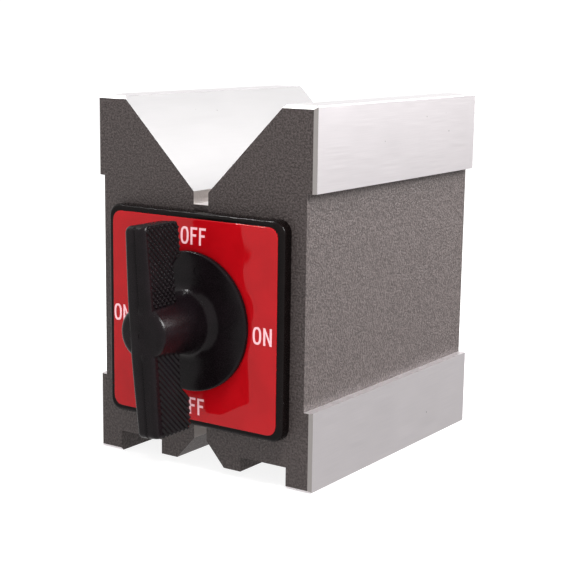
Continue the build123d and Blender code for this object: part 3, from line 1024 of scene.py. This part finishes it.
def grip_tree():
    """The tree, its size inputs by name, and its finish input."""
    tree = bpy.data.node_groups.new("grip_lumps", "GeometryNodeTree")
    tree.interface.new_socket(name="Geometry", in_out="OUTPUT", socket_type="NodeSocketGeometry")
    tree_input(tree, "Geometry", "NodeSocketGeometry")
    sizes = {name: tree_input(tree, name, "NodeSocketFloat")
             for name in ("Bead length", "Lump width", "Lump height")}
    finish_socket = tree_input(tree, "Finish", "NodeSocketMaterial")
    source = tree.nodes.new("NodeGroupInput").outputs
    facing = add_node(tree, "FunctionNodeAxesToRotation", {"primary_axis": "Z", "secondary_axis": "X"},
                      i0=point_value(tree, "outward", "FLOAT_VECTOR"),
                      i1=point_value(tree, "row", "FLOAT_VECTOR")).outputs[0]
    length = point_value(tree, "length", "FLOAT")
    is_rib = maths(tree, "GREATER_THAN", length, 0.0)
    is_bead = maths(tree, "SUBTRACT", 1.0, is_rib)
    stretch = add_node(tree, "ShaderNodeCombineXYZ", X=length, Y=1.0, Z=1.0).outputs[0]
    beads = add_node(tree, "GeometryNodeInstanceOnPoints", Points=source["Geometry"], Selection=is_bead,
                     Instance=bead_shape(tree, source), Rotation=facing)
    ribs = add_node(tree, "GeometryNodeInstanceOnPoints", Points=source["Geometry"], Selection=is_rib,
                    Instance=rib_shape(tree, source), Rotation=facing, Scale=stretch)
    joined = tree.nodes.new("GeometryNodeJoinGeometry")
    for copies in (beads, ribs):
        tree.links.new(copies.outputs[0], joined.inputs[0])
    real = add_node(tree, "GeometryNodeRealizeInstances", Geometry=joined.outputs[0])
    painted = add_node(tree, "GeometryNodeSetMaterial", Geometry=real.outputs[0], Material=source["Finish"])
    tree.links.new(painted.outputs[0], tree.nodes.new("NodeGroupOutput").inputs[0])
    return tree, sizes, finish_socket


# %% Grip mesh
GRIP_SIZES = {"Bead length": 1.06, "Lump width": 0.98, "Lump height": 0.42}


def grip():
    """All beads and ribs as one plain mesh, from the lattice points and their directions."""
    points, outs, rows, lengths = lattice
    mesh = mesh_of(points, [])
    for name, values in (("outward", outs), ("row", rows)):
        attribute = mesh.attributes.new(name, "FLOAT_VECTOR", "POINT")
        attribute.data.foreach_set("vector", [c for v in values for c in v])
    mesh.attributes.new("length", "FLOAT", "POINT").data.foreach_set("value", lengths)
    base = in_scene("work", mesh)
    modifier = base.modifiers.new("grip", "NODES")
    tree, sizes, finish_socket = grip_tree()
    modifier.node_group = tree
    for name, value in GRIP_SIZES.items():
        modifier[sizes[name].identifier] = value * MM
    modifier[finish_socket.identifier] = knob_plastic
    made = evaluated_mesh(base)
    made.materials.clear()
    return finish_mesh("knob_grip", made, [knob_plastic], 20.0)


grip_piece = grip()
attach(grip_piece, "rotor")
print(grip_piece.name, len(grip_piece.data.polygons), "faces")

# %% [markdown]
# ## Studio
# The block stands on a pale floor in an even pale sky, with one large soft light from the right, so the
# right side is more than twice as bright as the front. A backdrop with lamps all round could do the
# same, but a plain floor and a sky of nodes have no edges. The floor glows, so the shadow on it stays
# faint, and it is left out of reflections, so that they show the sky alone.

# %% Floor
FLOOR_HALF, FLOOR_GREY, FLOOR_GLOW = 4.0, 0.28, 0.86
floor_mesh = mesh_of([(x * FLOOR_HALF, y * FLOOR_HALF, 0) for x, y in ((-1, -1), (1, -1), (1, 1), (-1, 1))],
                     [(0, 1, 2, 3)])
floor_material, _, floor_shader = start_material("studio_floor")
floor_shader.inputs["Base Color"].default_value = (FLOOR_GREY, FLOOR_GREY, FLOOR_GREY, 1)
floor_shader.inputs["Roughness"].default_value = 0.9
floor_shader.inputs["Specular IOR Level"].default_value = 0.0
floor_shader.inputs["Emission Color"].default_value = (1, 1, 1, 1)
floor_shader.inputs["Emission Strength"].default_value = FLOOR_GLOW
floor_mesh.materials.append(floor_material)
floor = in_scene("studio_floor", floor_mesh)
floor.visible_glossy = False
floor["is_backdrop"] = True
print("floor", 2 * FLOOR_HALF, "m across")

# %% [markdown]
# The sky is white to the camera and a little darker as a light. Black flags could make the dark
# reflections but might fall into view, so the sky has two dark patches that only glossy rays notice.
# One, low in front on the left, leaves the middle of the label deep red. The other, low behind on the
# right, darkens the right sides of the black plastics.

# %% Sky
SKY_STRENGTH, SKY_COLOUR, SEEN_STRENGTH = 0.82, (1.0, 0.985, 0.98, 1), 1.1
FRONT_FLAG = {"towards": (-0.600, -0.777, -0.212), "size": (0.036, 0.5, 0.082), "soft": 0.16, "dark": 0.02}
SIDE_FLAG = {"towards": (0.56, 0.80, -0.20), "size": (0.26, 0.6, 0.24), "soft": 0.4, "dark": 0.10}

world = bpy.data.worlds.new("studio_sky")
bpy.context.scene.world = world
world.use_nodes = True
sky = world.node_tree
sky.nodes.clear()
seen = add_node(sky, "ShaderNodeBackground", Color=(1, 1, 1, 1), Strength=SEEN_STRENGTH)
direction = add_node(sky, "ShaderNodeTexCoord").outputs["Generated"]
strength = SKY_STRENGTH
for flag in (FRONT_FLAG, SIDE_FLAG):
    away = add_node(sky, "ShaderNodeVectorMath", {"operation": "SUBTRACT"}, i0=direction,
                    i1=flag["towards"]).outputs["Vector"]
    scaled = add_node(sky, "ShaderNodeVectorMath", {"operation": "DIVIDE"}, i0=away,
                      i1=flag["size"]).outputs["Vector"]
    length = add_node(sky, "ShaderNodeVectorMath", {"operation": "LENGTH"}, i0=scaled).outputs["Value"]
    shade = add_node(sky, "ShaderNodeMapRange", Value=length, i1=1 - flag["soft"], i2=1 + flag["soft"],
                     i3=flag["dark"], i4=1.0).outputs[0]
    strength = maths(sky, "MULTIPLY", strength, shade)
rays = add_node(sky, "ShaderNodeLightPath").outputs
lit = add_node(sky, "ShaderNodeBackground", Color=SKY_COLOUR, Strength=SKY_STRENGTH)
mirrored = add_node(sky, "ShaderNodeBackground", Color=SKY_COLOUR, Strength=strength)
both = add_node(sky, "ShaderNodeMixShader", Fac=rays["Is Glossy Ray"], i1=lit.outputs[0],
                i2=mirrored.outputs[0])
whole = add_node(sky, "ShaderNodeMixShader", Fac=rays["Is Camera Ray"], i1=both.outputs[0],
                 i2=seen.outputs[0])
add_node(sky, "ShaderNodeOutputWorld", Surface=whole.outputs[0])
print("sky strength", SKY_STRENGTH)


# %% [markdown]
# The key light is wide and stands on the right, and the small rim light comes from the upper left. The
# graze light hangs above the front and brings out the pebbles of the paint. It gives no reflection,
# which would be a hard glint on every bead.


# %% Soft lights
LIGHTS_AIM = (0, 0.01, 0.05)


def soft_light(name, at, size, power, glossy=True):
    """A round area light that the camera doesn't see, aimed at the block's middle."""
    data = bpy.data.lights.new(name, "AREA")
    data.shape, data.size, data.energy = "DISK", size, power
    lamp = in_scene(name, data)
    aim = (Vector(LIGHTS_AIM) - Vector(at)).to_track_quat("-Z", "Y").to_matrix().to_4x4()
    lamp.matrix_world = Matrix.Translation(at) @ aim
    lamp.visible_camera, lamp.visible_glossy = False, glossy


soft_light("key_light", (0.43, 0.25, 0.40), 0.35, 8.8)
soft_light("rim_light", (-0.66, -0.23, 1.03), 0.07, 2.5)
soft_light("graze_light", (0.16, -0.13, 0.42), 0.12, 2.2, glossy=False)

# %% Colour rendering
bpy.context.scene.view_settings.view_transform = "Standard"
bpy.context.scene.view_settings.look = "None"
print("view transform", bpy.context.scene.view_settings.view_transform)

# %% Sizes and finish
boxes = {"cad": [list(c) for c in cad_box], "visual": [list(c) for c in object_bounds()]}
print("visual box", boxes["visual"])
